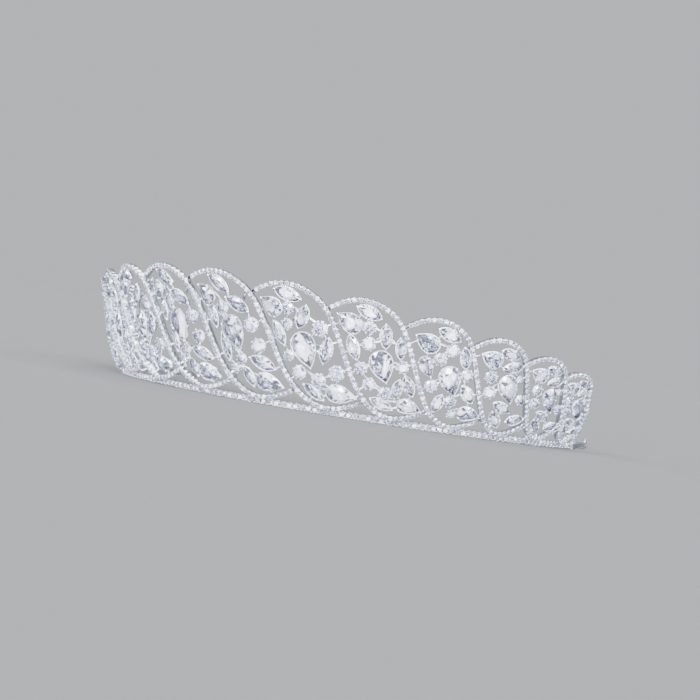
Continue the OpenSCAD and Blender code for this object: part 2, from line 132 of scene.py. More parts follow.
# Stones of each kind of cell. The tip of a pear turned by 0 points right.
# cut, way from the left scroll, height, turn, length, width
LAYOUTS = [[
    (UPPER, 4.1, 28.6, 148, 7.7, 5.4), (MARQUISE, 13.2, 32, 152, 8, 3.6),
    (ROUND, 8.2, 25.2, 0, 3.9, 3.9), (MARQUISE, 14.4, 26.8, 158, 8.2, 3.6),
    (MARQUISE, 3, 22.8, 120, 7.6, 3.4), (CENTRE, 8.6, 18.4, -62, 10.5, 7),
    (ROUND, 16, 21.6, 0, 4.4, 4.4), (ROUND, 15.4, 15.9, 0, 4.4, 4.4),
    (MARQUISE, 3.4, 14.2, 115, 8.2, 3.4), (ROUND, 7.3, 11.3, 0, 3.2, 3.2),
    (MARQUISE, 14.2, 11.1, 165, 8.4, 3.6), (LOWER, 12.2, 5.6, -8, 8.4, 5.6),
    (MARQUISE, 6.4, 6.6, 122, 6.3, 3.2), (ROUND, 3.2, 8.4, 0, 2.9, 2.9),
], [
    (UPPER, 4.1, 28.1, 155, 7.4, 5.2), (MARQUISE, 13, 32, 168, 8.2, 3.8),
    (ROUND, 9.3, 28, 0, 3.6, 3.6), (MARQUISE, 12.7, 26.2, 75, 7, 3.6),
    (MARQUISE, 2.8, 20.6, 125, 7.5, 3.3), (ROUND, 6.4, 23.4, 0, 3.4, 3.4),
    (ROUND, 16.4, 23.6, 0, 4.6, 4.6), (CENTRE, 8.9, 16.8, -64, 10.5, 7),
    (MARQUISE, 15.4, 17.6, 84, 7.6, 3.6), (ROUND, 2.9, 14.6, 0, 3.2, 3.2),
    (ROUND, 3.9, 10.2, 0, 4.2, 4.2), (ROUND, 9, 8.8, 0, 4.2, 4.2),
    (ROUND, 15.6, 11.6, 0, 4.6, 4.6), (MARQUISE, 4.6, 5.2, 150, 7.2, 3.2),
    (LOWER, 13, 5.7, -4, 8.4, 5.4),
], [
    (UPPER, 5, 27, 155, 7.8, 5.4), (MARQUISE, 13, 30.4, 162, 7.4, 3.6),
    (ROUND, 10.4, 26.2, 0, 3.8, 3.8), (ROUND, 8.4, 21.6, 0, 3.9, 3.9),
    (MARQUISE, 14.2, 24.4, 100, 7, 3.4), (MARQUISE, 17.3, 21.6, 102, 6.2, 2.8),
    (MARQUISE, 3.4, 20, 115, 7.4, 3.4), (CENTRE, 10, 15.6, -66, 9.4, 6.4),
    (ROUND, 3.6, 14.3, 0, 3.7, 3.7), (ROUND, 4.2, 10.1, 0, 3.7, 3.7),
    (ROUND, 16, 16.4, 0, 3.7, 3.7), (ROUND, 7.7, 8, 0, 4, 4),
    (MARQUISE, 12, 9.9, 86, 5.8, 2.8), (MARQUISE, 15.9, 11.3, 120, 6.4, 3),
    (MARQUISE, 4.7, 4.9, 163, 6.8, 3), (LOWER, 12.8, 5.2, -12, 6.9, 4.4),
], [
    (UPPER, 6, 24.8, 158, 7.4, 5.2), (MARQUISE, 13.6, 27.8, 160, 7.2, 3.4),
    (ROUND, 12.8, 23.5, 0, 3.8, 3.8), (ROUND, 8.4, 20.4, 0, 3.8, 3.8),
    (MARQUISE, 16.2, 21.9, 108, 6.4, 3), (SIDE, 3.9, 17.6, -55, 6.2, 3.8),
    (CENTRE, 10, 14.6, -64, 8.8, 6), (ROUND, 15.6, 17, 0, 3.5, 3.5),
    (ROUND, 4, 12.4, 0, 3.8, 3.8), (MARQUISE, 4.4, 7.7, 78, 5.6, 3),
    (ROUND, 8.3, 8.7, 0, 3.5, 3.5), (MARQUISE, 14.3, 11.6, 135, 6.4, 3.2),
    (ROUND, 7.1, 5.2, 0, 2.6, 2.6), (LOWER, 12.7, 5.8, -8, 6.8, 4.5),
], [
    (UPPER, 6.2, 23, 165, 6.6, 4.7), (MARQUISE, 12.6, 25.1, 168, 6.4, 3),
    (MARQUISE, 12.6, 21.3, -165, 6.4, 3.2), (ROUND, 5.2, 17.7, 0, 3.7, 3.7),
    (ROUND, 4.2, 13.1, 0, 3.7, 3.7), (CENTRE, 10.3, 14.8, -62, 8.8, 5.7),
    (MARQUISE, 7.4, 9.2, 160, 6.2, 3), (ROUND, 14.9, 18.3, 0, 2.1, 2.1),
    (ROUND, 14.3, 12.2, 0, 3.1, 3.1), (MARQUISE, 11.2, 6, 15, 5.8, 3.2),
    (MARQUISE, 4.5, 5.4, 125, 5.6, 3),
]]

# Each wire's way below the stones of a layout, by their rows. Its ends are soldered to the cell's own
# scroll or to the one before.
OWN, PREVIOUS = -1, -2
WIRES = [
    [(OWN, 0, 2, 3, OWN), (1, OWN), (4, 5, 6, OWN), (8, 9, 10, OWN), (7, OWN), (13, 12, 11, PREVIOUS)],
    [(OWN, 0, 2, 3, 6, OWN), (1, OWN), (4, 5, 3), (9, 7, 8, OWN), (10, 11, 12, OWN), (13, 14, PREVIOUS)],
    [
        (OWN, 0, 2, 4, 5, OWN), (1, OWN), (6, 3, 4), (8, 7, 10, OWN), (9, 11, 12, 13, OWN),
        (14, 15, PREVIOUS),
    ],
    [(OWN, 0, 2, 4, OWN), (1, OWN), (5, 3, 2), (8, 6, 7, OWN), (9, 10, 11, OWN), (12, 13, PREVIOUS)],
    [(OWN, 0, 3), (0, 1, OWN), (2, 7, OWN), (4, 5, 8, OWN), (10, 6, 9, PREVIOUS)],
]
# The cell that each layout is drawn for, and the layout of each cell from left to right
HOME = [0.5, 1.5, 2.5, 3.5, 4.5]
CELL_LAYOUT = [4, 4, 4, 3, 2, 1, 0, 0, 1, 2, 3, 4, 4, 4]

# The small stones along the scrolls and the rim: their size, their spacing, and how far their girdles
# stand in front of the middle line. Then the beads between them: radius, way to each side, and the same.
SCROLL_STONE = 1.54
SCROLL_STONE_PITCH = 1.66
SCROLL_STONE_SEAT = 0.62
SCROLL_BEAD = 0.14
SCROLL_BEAD_SIDE = 0.4
SCROLL_BEAD_SEAT = 0.6
RIM_STONE = 1.76
RIM_STONE_PITCH = 1.9
RIM_STONE_SEAT = 0.7
RIM_BEAD = 0.2
RIM_BEAD_SIDE = 0.62
RIM_BEAD_SEAT = 0.68
# Bearings between which the rim is set with stones
RIM_STONES_FROM = -87
RIM_STONES_TO = 93
STEPS_PER_STONE = 6

UP = np.array([0, 0, 1.0])
rng = np.random.default_rng(15)


def sin(a):
    return np.sin(np.radians(a))


def cos(a):
    return np.cos(np.radians(a))


def unit(v):
    v = np.asarray(v, float)
    return v / np.linalg.norm(v, axis=-1, keepdims=True)


def smooth(t):
    s = np.clip(t, 0, 1)
    return s * s * (3 - 2 * s)


def rows_of(*columns):
    """Points from three columns, any of which may be a single number."""
    return np.stack(np.broadcast_arrays(*columns), axis=-1).astype(float)


def run_along(points):
    """The way along a row of points, from 0 at the first."""
    return np.concatenate([[0], np.cumsum(np.linalg.norm(np.diff(points, axis=0), axis=1))])


# The wall

def axis_along(q):
    return rows_of(cos(q), sin(q), 0)


def axis_up(q):
    return rows_of(sin(LEAN) * sin(q), -sin(LEAN) * cos(q), cos(LEAN))


def axis_out(q):
    return np.cross(axis_along(q), axis_up(q))


def wall_radius(up, out):
    return RIM_RADIUS + out + up * sin(LEAN)


def wall(q, up, out):
    r = wall_radius(up, out)
    return rows_of(r * sin(q), RIM_RADIUS - r * cos(q), RIM_HEIGHT / 2 + up * cos(LEAN))


# The scrolls

def curve_through(rows, x):
    """Heights at x of a smooth curve through rows of x and y."""
    xs, ys = rows[:, 0], rows[:, 1]
    slopes = np.gradient(ys, xs)
    i = np.clip(np.searchsorted(xs, x, side="right") - 1, 0, len(xs) - 2)
    h = xs[i + 1] - xs[i]
    t = (x - xs[i]) / h
    return (
        (1 + 2 * t) * (1 - t) ** 2 * ys[i] + t * (1 - t) ** 2 * h * slopes[i]
        + t * t * (3 - 2 * t) * ys[i + 1] + t * t * (t - 1) * h * slopes[i + 1]
    )


def side_share(x):
    return 1 if x > 0 else LEFT_SHARE


def bearing(x):
    return (PITCH * x - PITCH_FADE * x**3) * side_share(x)


def span(x):
    pitch = (PITCH - 3 * PITCH_FADE * x * x) * side_share(x)
    return pitch * max(LEAST_SPAN, SPAN - SPAN_FADE * abs(x)) * (1 if x > 0 else LEFT_SPAN)


def crest(x):
    return CREST_HEIGHT * cos((FALL_RIGHT if x > 0 else FALL_LEFT) * (bearing(x) - CREST_BEARING))


def scroll_up(x, u):
    return FOOT_HEIGHT + (crest(x) - FOOT_HEIGHT) * np.interp(u, SCROLL[:, 0], SCROLL[:, 1])


def smooth_scroll_up(x, u):
    return FOOT_HEIGHT + (crest(x) - FOOT_HEIGHT) * curve_through(SCROLL, u)


def scroll_bearing(x, u):
    return bearing(x) + (u - 0.5) * span(x)


def share_at(x, q):
    return (q - bearing(x)) / span(x) + 0.5


def stroke_bearing(x, up):
    return scroll_bearing(x, np.interp((up - FOOT_HEIGHT) / (crest(x) - FOOT_HEIGHT), *STROKE.T))


def relief_at(up):
    return RIM_RELIEF + (RELIEF - RIM_RELIEF) * sin(90 * np.clip(up / RELIEF_HEIGHT, 0, 1))


def is_hidden(x, u, other):
    up = scroll_up(other, share_at(other, scroll_bearing(x, u)))
    return scroll_up(x, u) <= up if other < x else scroll_up(x, u) >= up


def scroll_ends(x):
    """Shares of the span where a scroll comes out from behind its neighbours."""
    first, last = START_FROM, END_FROM
    while x > FIRST and first >= SCROLL[0, 0] and not is_hidden(x, first, x - 1):
        first -= END_STEP
    while x < XS[-1] and last <= SCROLL[-1, 0] and not is_hidden(x, last, x + 1):
        last += END_STEP
    return (first if x > FIRST else FREE_START), (last if x < XS[-1] else FREE_END)


def scroll_out(u, up, first, last):
    ending = SINK_SHARE * TUCK * smooth((u - last + SINK) / SINK)
    return relief_at(up) - TUCK * (1 - smooth((u - first) / RISE)) - ending


# The stones

# How far the ridge below a stone runs to its tip, as a share of how far it runs the other way
KEEL_SHARE = 0.8
# Half the thickness of a girdle, as a share of the stone's width
GIRDLE_SHARE = 0.01
# How slim the neck of a pear is
NECK_POWER = 1.1
# Points of the outline that a stone's facets start from
GEM_POINTS = 16
# Fine steps to each quarter of an outline, before it is divided evenly
EDGE_STEPS = 180


def cell_x(c):
    return FIRST + 1 + c


def cell_room(x, up):
    return math.radians(stroke_bearing(x, up) - stroke_bearing(x - 1, up)) * wall_radius(up, RELIEF)


def on_keel(flat, keel):
    """The nearest points of the ridge below a stone, which runs between two places along its length."""
    return np.stack([np.clip(flat[:, 0], *keel), np.zeros(len(flat))], axis=1)


class Stone:
    """A placed stone: the middle of its girdle, its axes along, across and out, and its size."""

    def __init__(self, middle, axes, cut, length, width):
        self.middle, self.axes, self.cut = middle, axes, cut
        self.length, self.width = length, width
        self.depth = PAVILION_SHARE * width
        self.culet = np.array([CULET_SHIFT * (width - length) if cut > MARQUISE else 0, 0])
        reach = (length - width) / 2
        self.keel = np.array([-reach, KEEL_SHARE * reach])

    def edge(self, count):
        return stone_edge(self.cut, self.length, self.width, count)

    def at(self, flat, out=0.0):
        """Points of the piece for points flat on the girdle, moved out by that much."""
        flat = np.atleast_2d(flat)
        return self.middle + rows_of(flat[:, 0], flat[:, 1], out) @ self.axes

    def under(self, flat, share, below):
        """Points outside the stone's lower half: share runs from the keel to the girdle."""
        flat = np.atleast_2d(flat)
        middle = on_keel(flat, self.keel)
        return self.at(middle + share * (flat - middle), -(1 - share) * self.depth - below)


def turned(along, across, face, turn):
    """Axes turned about the last of them."""
    c, s = cos(turn), sin(turn)
    return np.array([c * along + s * across, c * across - s * along, face])


def placed(c, row):
    cut, way, high, turn, length, width = row
    x, home = cell_x(c), HOME[CELL_LAYOUT[c]]
    wide = (bearing(x) - bearing(x - 1)) / (bearing(home) - bearing(home - 1))
    tall = (crest(x) - FOOT_HEIGHT) / (crest(home) - FOOT_HEIGHT)
    size = min(1, wide, tall)
    up = FOOT_HEIGHT + (high - FOOT_HEIGHT) * tall
    room = cell_room(x, up)
    spread = (room - RIBBON_WIDTH) / (cell_room(home, high) - RIBBON_WIDTH)
    fit = min(spread, wide) if high < TOE_HEIGHT else spread
    way = RIBBON_WIDTH / 2 + (way - RIBBON_WIDTH / 2) * fit
    q = stroke_bearing(x - 1, up) + math.degrees(way / wall_radius(up, RELIEF))
    dip = max(0, 1 - way / room)
    out = relief_at(up) - STONE_DIP * dip**3 + STONE_LIFT
    # The stone leans with the slope of its dip along the wall and of the bulge up the wall
    slope_along = 3 * STONE_DIP * dip * dip / room
    bulge = (RELIEF - RIM_RELIEF) * cos(90 * min(1, up / RELIEF_HEIGHT))
    along = unit(axis_along(q) + slope_along * axis_out(q))
    face = unit(np.cross(along, axis_up(q) + bulge * math.pi / 2 / RELIEF_HEIGHT * axis_out(q)))
    axes = turned(along, np.cross(face, along), face, turn)
    return Stone(wall(q, up, out), axes, cut, length * size, width * size)


def stone_edge(cut, length, width, count):
    """The outline of a cut, in evenly spaced points from its tip, anticlockwise."""
    t = np.linspace(0, 180, 2 * EDGE_STEPS + 1)
    if cut == ROUND:
        half = np.stack([width / 2 * cos(t), width / 2 * sin(t)], axis=1)
    elif cut == MARQUISE:
        bend = (length**2 + width**2) / (4 * width)
        x = length / 2 * cos(t)
        half = np.stack([x, np.sqrt(bend**2 - x**2) - bend + width / 2], axis=1)
    else:
        middle = width / 2 - length / 2
        neck = np.linspace(1, 0, EDGE_STEPS + 1)[:-1]
        side = width / 2 * (1 - neck**2) ** NECK_POWER
        tip = np.stack([middle + (length / 2 - middle) * neck, side], axis=1)
        turn = t[EDGE_STEPS:]
        end = np.stack([middle + width / 2 * cos(turn), width / 2 * sin(turn)], axis=1)
        half = np.concatenate([tip, end])
    half[0, 1] = half[-1, 1] = 0
    run = run_along(half)
    even = np.linspace(0, run[-1], count // 2 + 1)
    half = np.stack([np.interp(even, run, half[:, 0]), np.interp(even, run, half[:, 1])], axis=1)
    return np.concatenate([half, half[-2:0:-1] * [1, -1]])


def edge_normals(edge):
    """Directions out of a closed outline at its points."""
    way = np.roll(edge, -1, axis=0) - np.roll(edge, 1, axis=0)
    return unit(np.stack([way[:, 1], -way[:, 0]], axis=1))


# Meshes

class Shape:
    """Points in millimetres and faces of one piece, and each face's place among the piece's looks."""

    def __init__(self):
        self.points, self.faces, self.looks, self.count = [], [], [], 0

    def add(self, points, faces, looks=None):
        self.points.append(np.asarray(points, float))
        self.faces += [[i + self.count for i in face] for face in faces]
        self.looks += looks or [0] * len(faces)
        self.count += len(points)


def sweep(shape, rings, closed=False, painted_shade_sides=()):
    """A tube through rings of points, each anticlockwise seen against its way."""
    rings = np.asarray(rings)
    count, n = rings.shape[:2]
    faces = []
    for r in range(count if closed else count - 1):
        a, b = r * n, (r + 1) % count * n
        faces += [(a + k, a + (k + 1) % n, b + (k + 1) % n, b + k) for k in range(n)]
    # The listed sides take the second look, the dark metal of painted shade
    looks = [int(k in painted_shade_sides) for k in range(n)] * (len(faces) // n)
    if not closed:
        faces += [tuple(range(n - 1, -1, -1)), tuple((count - 1) * n + k for k in range(n))]
        looks += [0, 0]
    shape.add(rings.reshape(-1, 3), faces, looks)


def rings_along(points, side, front, profile):
    """Rings of a profile of side and front offsets, one at each point."""
    profile = np.asarray(profile, float)
    if profile.ndim == 2:
        profile = np.broadcast_to(profile, (len(points),) + profile.shape)
    return points[:, None] + profile[..., :1] * side[:, None] + profile[..., 1:] * front[:, None]


def circle(sides):
    a = np.arange(sides) * 360 / sides
    return np.stack([cos(a), sin(a)], axis=1)


def wire(shape, points, radii, sides=6, closed=False):
    """A round wire through points, of one radius or a radius at each point."""
    points = np.asarray(points, float)
    if closed:
        way = unit(np.roll(points, -1, axis=0) - np.roll(points, 1, axis=0))
    else:
        way = unit(np.gradient(points, axis=0))
    side = np.zeros_like(way)
    # Any direction that no wire starts in
    start = np.cross(way[0], [0.31, 0.87, 0.38])
    for i, w in enumerate(way):
        start = start - w * (start @ w)
        side[i] = unit(start)
        start = side[i]
    front = np.cross(way, side)
    radii = np.broadcast_to(radii, len(points))
    sweep(shape, rings_along(points, side, front, circle(sides) * radii[:, None, None]), closed)


def rounded(points, between):
    """A smooth way through a few points, with that many steps from each to the next."""
    points = np.asarray(points, float)
    padded = np.concatenate([[2 * points[0] - points[1]], points, [2 * points[-1] - points[-2]]])
    t = np.linspace(0, 1, between, endpoint=False)[:, None]
    way = []
    for a, b, c, d in zip(padded, padded[1:], padded[2:], padded[3:]):
        way.append(b + 0.5 * t * (c - a + t * (2 * a - 5 * b + 4 * c - d + t * (3 * b - a - 3 * c + d))))
    return np.concatenate(way + [points[-1:]])


def cut_gem(edge, culet, keel, crown, depth, girdle=0.0):
    """A brilliant cut over an outline: a table, and rings of facets above and below the girdle."""
    table = TABLE_SHARE * edge[::2]
    star_reach, lower_reach, mid_step = 0.775, 0.24, float(cos(22.5))
    star = star_reach * edge[1::2]
    star_height = crown * (1 - star_reach * mid_step) / (1 - TABLE_SHARE)
    ridge = on_keel(edge[1::2], keel)
    lower = ridge + lower_reach * (edge[1::2] - ridge)
    points = np.concatenate([
        rows_of(*table.T, girdle + crown),
        rows_of(*star.T, girdle + star_height),
        rows_of(*edge.T, girdle),
        rows_of(*edge.T, -girdle) if girdle else np.zeros((0, 3)),
        rows_of(*lower.T, -girdle - depth * (1 - lower_reach * mid_step)),
        [[*culet, -girdle - depth]],
    ])
    # First points of the stars, of the girdle's two edges and of the lower facets, and the culet
    n, s = len(edge), len(edge) // 2
    g, b = n, 2 * n if girdle else n
    low, tip = b + n, b + n + s
    faces = [tuple(range(s))]
    for i in range(s):
        j, before, e, m, f = (i + 1) % s, (i - 1) % s, 2 * i, 2 * i + 1, (2 * i + 2) % n
        faces += [
            (i, s + i, j), (i, s + before, g + e, s + i), (s + i, g + e, g + m), (s + i, g + m, g + f),
            (b + e, low + i, b + m), (b + m, low + i, b + f), (b + e, low + before, low + i),
            (low + before, tip, low + i),
        ]
    if girdle:
        faces += [(g + k, b + k, b + (k + 1) % n, g + (k + 1) % n) for k in range(n)]
    return points, faces


def gem(shape, stone):
    crown, girdle = CROWN_SHARE * stone.width, GIRDLE_SHARE * stone.width
    edge = stone.edge(GEM_POINTS)
    points, faces = cut_gem(edge, stone.culet, stone.keel, crown, stone.depth, girdle)
    shape.add(stone.middle + points @ stone.axes, faces)


SMALL_STONE = cut_gem(
    stone_edge(ROUND, 1, 1, GEM_POINTS), np.zeros(2), np.zeros(2), CROWN_SHARE, PAVILION_SHARE,
)
# How far out of true the small stones are set
SETTING_TILT = 0.03


def small_stone(shape, middle, along, face, size):
    """A small round stone, turned any way and a little out of true, as stones are set."""
    # A brilliant repeats every 45 degrees
    turn = rng.uniform(0, 45)
    face = unit(face + rng.normal(0, SETTING_TILT, 3))
    along = unit(along - face * (along @ face))
    axes = turned(along, np.cross(face, along), face, turn)
    shape.add(middle + size * SMALL_STONE[0] @ axes, SMALL_STONE[1])


def ball():
    """A unit bead of six sides, with three rings of points between its ends."""
    points = [(0, 0, 1)]
    points += [
        (sin(d) * cos(a), sin(d) * sin(a), cos(d)) for d in (40, 80, 125) for a in range(0, 360, 60)
    ]
    points += [(0, 0, -1)]
    faces = []
    for k in range(6):
        m = (k + 1) % 6
        faces += [(0, 1 + k, 1 + m), (13 + k, 19, 13 + m)]
        faces += [(r + k, r + 6 + k, r + 6 + m, r + m) for r in (1, 7)]
    return np.array(points, float), faces


BALL = ball()


def bead(shape, middle, face, radius):
    # Any direction that no bead faces
    side = unit(np.cross(face, [0.2, 0.3, 0.93]))
    axes = np.array([side, np.cross(face, side), face])
    shape.add(middle + radius * BALL[0] @ axes, BALL[1])


# Materials

def node(tree, kind, inputs=None, **settings):
    """A new node with its settings, and the values of its inputs by name or place."""
    made = tree.nodes.new(kind)
    for name, value in settings.items():
        setattr(made, name, value)
    for name, value in (inputs or {}).items():
        made.inputs[name].default_value = value
    return made


def connect(tree, links):
    """Links from an output to an input: (node, output, node, input), sockets by name or place."""
    for start, output, end, target in links:
        tree.links.new(start.outputs[output], end.inputs[target])


COLOUR, NUMBER, VECTOR = "NodeSocketColor", "NodeSocketFloat", "NodeSocketVector"


def group(name, inputs, outputs):
    """An empty node group with its sockets: (kind, name, value) in, (kind, name) out."""
    tree = bpy.data.node_groups.new(name, "ShaderNodeTree")
    for kind, label, value in inputs:
        tree.interface.new_socket(label, in_out="INPUT", socket_type=kind).default_value = value
    for kind, label in outputs:
        tree.interface.new_socket(label, in_out="OUTPUT", socket_type=kind)
    return tree, tree.nodes.new("NodeGroupInput"), tree.nodes.new("NodeGroupOutput")


# A mix of colours takes them at inputs 6 and 7 and gives the result at output 2

def uneven_tone():
    """Two tones that run into each other in soft clouds."""
    tree, given, result = group(
        "uneven tone",
        [
            (COLOUR, "Tone", (1, 1, 1, 1)), (COLOUR, "Other tone", (0.8, 0.8, 0.8, 1)),
            (NUMBER, "Clouds per metre", 200), (NUMBER, "Contrast", 0.5),
        ],
        [(COLOUR, "Colour")],
    )
    place = node(tree, "ShaderNodeTexCoord")
    clouds = node(tree, "ShaderNodeTexNoise", {"Detail": 3})
    strength = node(tree, "ShaderNodeMapRange", {"From Min": 0.35, "From Max": 0.65})
    mix = node(tree, "ShaderNodeMix", data_type="RGBA")
    connect(tree, [
        (place, "Object", clouds, "Vector"),
        (given, "Clouds per metre", clouds, "Scale"),
        (clouds, "Fac", strength, "Value"),
        (given, "Contrast", strength, "To Max"),
        (strength, "Result", mix, "Factor"),
        (given, "Tone", mix, 6),
        (given, "Other tone", mix, 7),
        (mix, 2, result, "Colour"),
    ])
    return tree


def painted_facet_fire():
    """A faint tint for each facet, picked by the way that it faces: painted fire, the coloured flashes
    of split light.
    """
    tree, given, result = group(
        "painted facet fire",
        [
            (VECTOR, "Facing", (0, 0, 1)), (COLOUR, "Clear", (1, 1, 1, 1)),
            (COLOUR, "Cool", (0.8, 0.85, 1, 1)), (COLOUR, "Warm", (1, 0.9, 0.95, 1)),
        ],
        [(COLOUR, "Colour")],
    )
    # A facet's direction, rounded to steps, picks its chance
    spread = node(tree, "ShaderNodeVectorMath", {"Scale": 9.7}, operation="SCALE")
    steps = node(tree, "ShaderNodeVectorMath", {1: (0.2, 0.2, 0.2)}, operation="SNAP")
    chance = node(tree, "ShaderNodeTexWhiteNoise", noise_dimensions="3D")
    cool = node(tree, "ShaderNodeMapRange", {"From Min": 0.45})
    warm = node(tree, "ShaderNodeMapRange", {"From Min": 0.35, "From Max": 0})
    first = node(tree, "ShaderNodeMix", data_type="RGBA")
    second = node(tree, "ShaderNodeMix", data_type="RGBA")
    connect(tree, [
        (given, "Facing", spread, 0),
        (spread, 0, steps, 0),
        (steps, 0, chance, "Vector"),
        (chance, "Value", cool, "Value"),
        (chance, "Value", warm, "Value"),
        (cool, "Result", first, "Factor"),
        (given, "Clear", first, 6),
        (given, "Cool", first, 7),
        (warm, "Result", second, "Factor"),
        (first, 2, second, 6),
        (given, "Warm", second, 7),
        (second, 2, result, "Colour"),
    ])
    return tree


def polish_marks():
    """Fine marks of polishing: a roughness and a height."""
    tree, given, result = group(
        "polish marks",
        [
            (NUMBER, "Marks per metre", 2500), (NUMBER, "Least roughness", 0.08),
            (NUMBER, "Most roughness", 0.2),
        ],
        [(NUMBER, "Roughness"), (NUMBER, "Height")],
    )
    place = node(tree, "ShaderNodeTexCoord")
    marks = node(tree, "ShaderNodeTexNoise", {"Detail": 4, "Roughness": 0.65})
    strength = node(tree, "ShaderNodeMapRange", {"From Min": 0.3, "From Max": 0.7})
    connect(tree, [
        (place, "Object", marks, "Vector"),
        (given, "Marks per metre", marks, "Scale"),
        (marks, "Fac", strength, "Value"),
        (given, "Least roughness", strength, "To Min"),
        (given, "Most roughness", strength, "To Max"),
        (strength, "Result", result, "Roughness"),
        (marks, "Fac", result, "Height"),
    ])
    return tree


TONE, TINT, MARKS = uneven_tone(), painted_facet_fire(), polish_marks()


def material(name):
    made = bpy.data.materials.new(name)
    made.use_nodes = True
    return made, made.node_tree, made.node_tree.nodes["Principled BSDF"]


def placed_group(tree, kind, inputs):
    """A shared group in a material, with the values of its inputs by name."""
    return node(tree, "ShaderNodeGroup", inputs, node_tree=kind)


def white_metal(name, tone, other_tone, least, most):
    """Polished white metal with faint clouds in its colour and fine polishing marks."""
    made, tree, shader = material(name)
    colour = placed_group(tree, TONE, {"Tone": tone, "Other tone": other_tone, "Clouds per metre": 350})
    marks = placed_group(tree, MARKS, {"Least roughness": least, "Most roughness": most})
    bump = node(tree, "ShaderNodeBump", {"Strength": 0.15, "Distance": 0.00002})
    shader.inputs["Metallic"].default_value = 1
    connect(tree, [
        (colour, "Colour", shader, "Base Color"),
        (marks, "Roughness", shader, "Roughness"),
        (marks, "Height", bump, "Height"),
        (bump, "Normal", shader, "Normal"),
    ])
    return made


def diamond(name, clear, cool, warm, transmission):
    """Clear cut stone whose facets differ a little in tint: painted fire, standing in for the coloured
    flashes of split light.
    """
    made, tree, shader = material(name)
    facing = node(tree, "ShaderNodeNewGeometry")
    tint = placed_group(tree, TINT, {"Clear": clear, "Cool": cool, "Warm": warm})
    shader.inputs["Metallic"].default_value = 0
    shader.inputs["Roughness"].default_value = 0.0
    shader.inputs["IOR"].default_value = 2.417
    shader.inputs["Transmission Weight"].default_value = transmission
    connect(tree, [
        (facing, "True Normal", tint, "Facing"),
        (tint, "Colour", shader, "Base Color"),
    ])
    return made


metal = white_metal("white gold", (0.72, 0.74, 0.8, 1), (0.6, 0.62, 0.69, 1), 0.1, 0.24)
# A dark copy of the white gold for the channels under the small stones: painted shade, standing in for
# the shadow there.
painted_shade_metal = white_metal("painted shade channel", (0.24, 0.24, 0.26, 1), (0.14, 0.14, 0.16, 1), 0.3, 0.5)
# A lighter copy of the white gold for the beads and claws: painted highlight, standing in for their
# glints.
painted_glint_metal = white_metal("painted glint beads", (0.91, 0.93, 0.98, 1), (0.84, 0.86, 0.92, 1), 0.06, 0.14)
satin_metal = white_metal("satin edges", (0.93, 0.94, 0.99, 1), (0.87, 0.88, 0.94, 1), 0.3, 0.42)
large_diamond = diamond(
    "large diamond", (0.84, 0.87, 1, 1), (0.6, 0.64, 0.9, 1), (0.86, 0.8, 0.98, 1), 0.93,
)
small_diamond = diamond(
    "small diamond", (0.87, 0.9, 1, 1), (0.7, 0.75, 0.96, 1), (0.9, 0.86, 0.98, 1), 0.78,
)


def set_up(name, data):
    """A new object in the scene."""
    made = bpy.data.objects.new(name, data)
    bpy.context.scene.collection.objects.link(made)
    return made


def piece(name, shape, looks, slot, nodes, sharp_from=None):
    """Makes a shape into a piece that stands for CAD nodes. Without sharp_from it has flat facets."""
    mesh = bpy.data.meshes.new(name)
    mesh.from_pydata((np.concatenate(shape.points) * MM).tolist(), [], shape.faces)
    for look in looks:
        mesh.materials.append(look)
    mesh.polygons.foreach_set("material_index", shape.looks)
    if sharp_from is not None:
        mesh.shade_smooth()
        mesh.set_sharp_from_angle(angle=math.radians(sharp_from))
    made = set_up(name, mesh)
    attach(made, "root")
    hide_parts(*nodes)


# The channels of the scrolls and the rim, with a row of small stones between two thin rails

def mirrored(half):
    """A profile from its right half, back to front."""
    return np.array(half + [(-side, front) for side, front in half[::-1]])


RIBBON_PROFILE = mirrored([
    (0.2, -1.3), (0.32, -1.27), (0.38, -1.15), (0.52, -0.5), (0.66, 0.16), (0.7, 0.4), (0.62, 0.47),
    (0.5, 0.36), (0.22, -0.1),
])
RIM_PROFILE = mirrored([
    (0.8, -0.8), (0.94, -0.75), (1, -0.6), (1, 0.2), (0.97, 0.5), (0.9, 0.58), (0.8, 0.56),
    (0.62, 0.4), (0.3, -0.15),
])
PLAIN_PROFILE = mirrored([(0.74, -0.8), (0.93, -0.73), (1, -0.55), (1, 0.5), (0.9, 0.72), (0.7, 0.8)])
# The sides of the first two profiles that make the channel below the stones. They take a dark copy of
# the metal: painted shade for the shadow between and under the stones.
CHANNEL = (7, 8, 9)
# How much a channel narrows between two stones, and how far behind the middle line of a scroll this ends
SCALLOP = 0.36
RIM_SCALLOP = 0.24
SCALLOP_BACK = 0.9
# Least room between a small stone and the middle line of a scroll in front of it
CLEAR_ROOM = 1.3
# Steps in which a scroll is measured before it is divided evenly
FINE_STEPS = 3000


def scalloped(profile, depth, count, share):
    """The profile at each of count steps, narrowed between the stones: each point by its share."""
    narrow = depth * cos(180 * np.arange(count) / STEPS_PER_STONE) ** 2
    sections = np.repeat(profile[None], count, axis=0)
    sections[..., 0] *= 1 - narrow[:, None] * share
    return sections


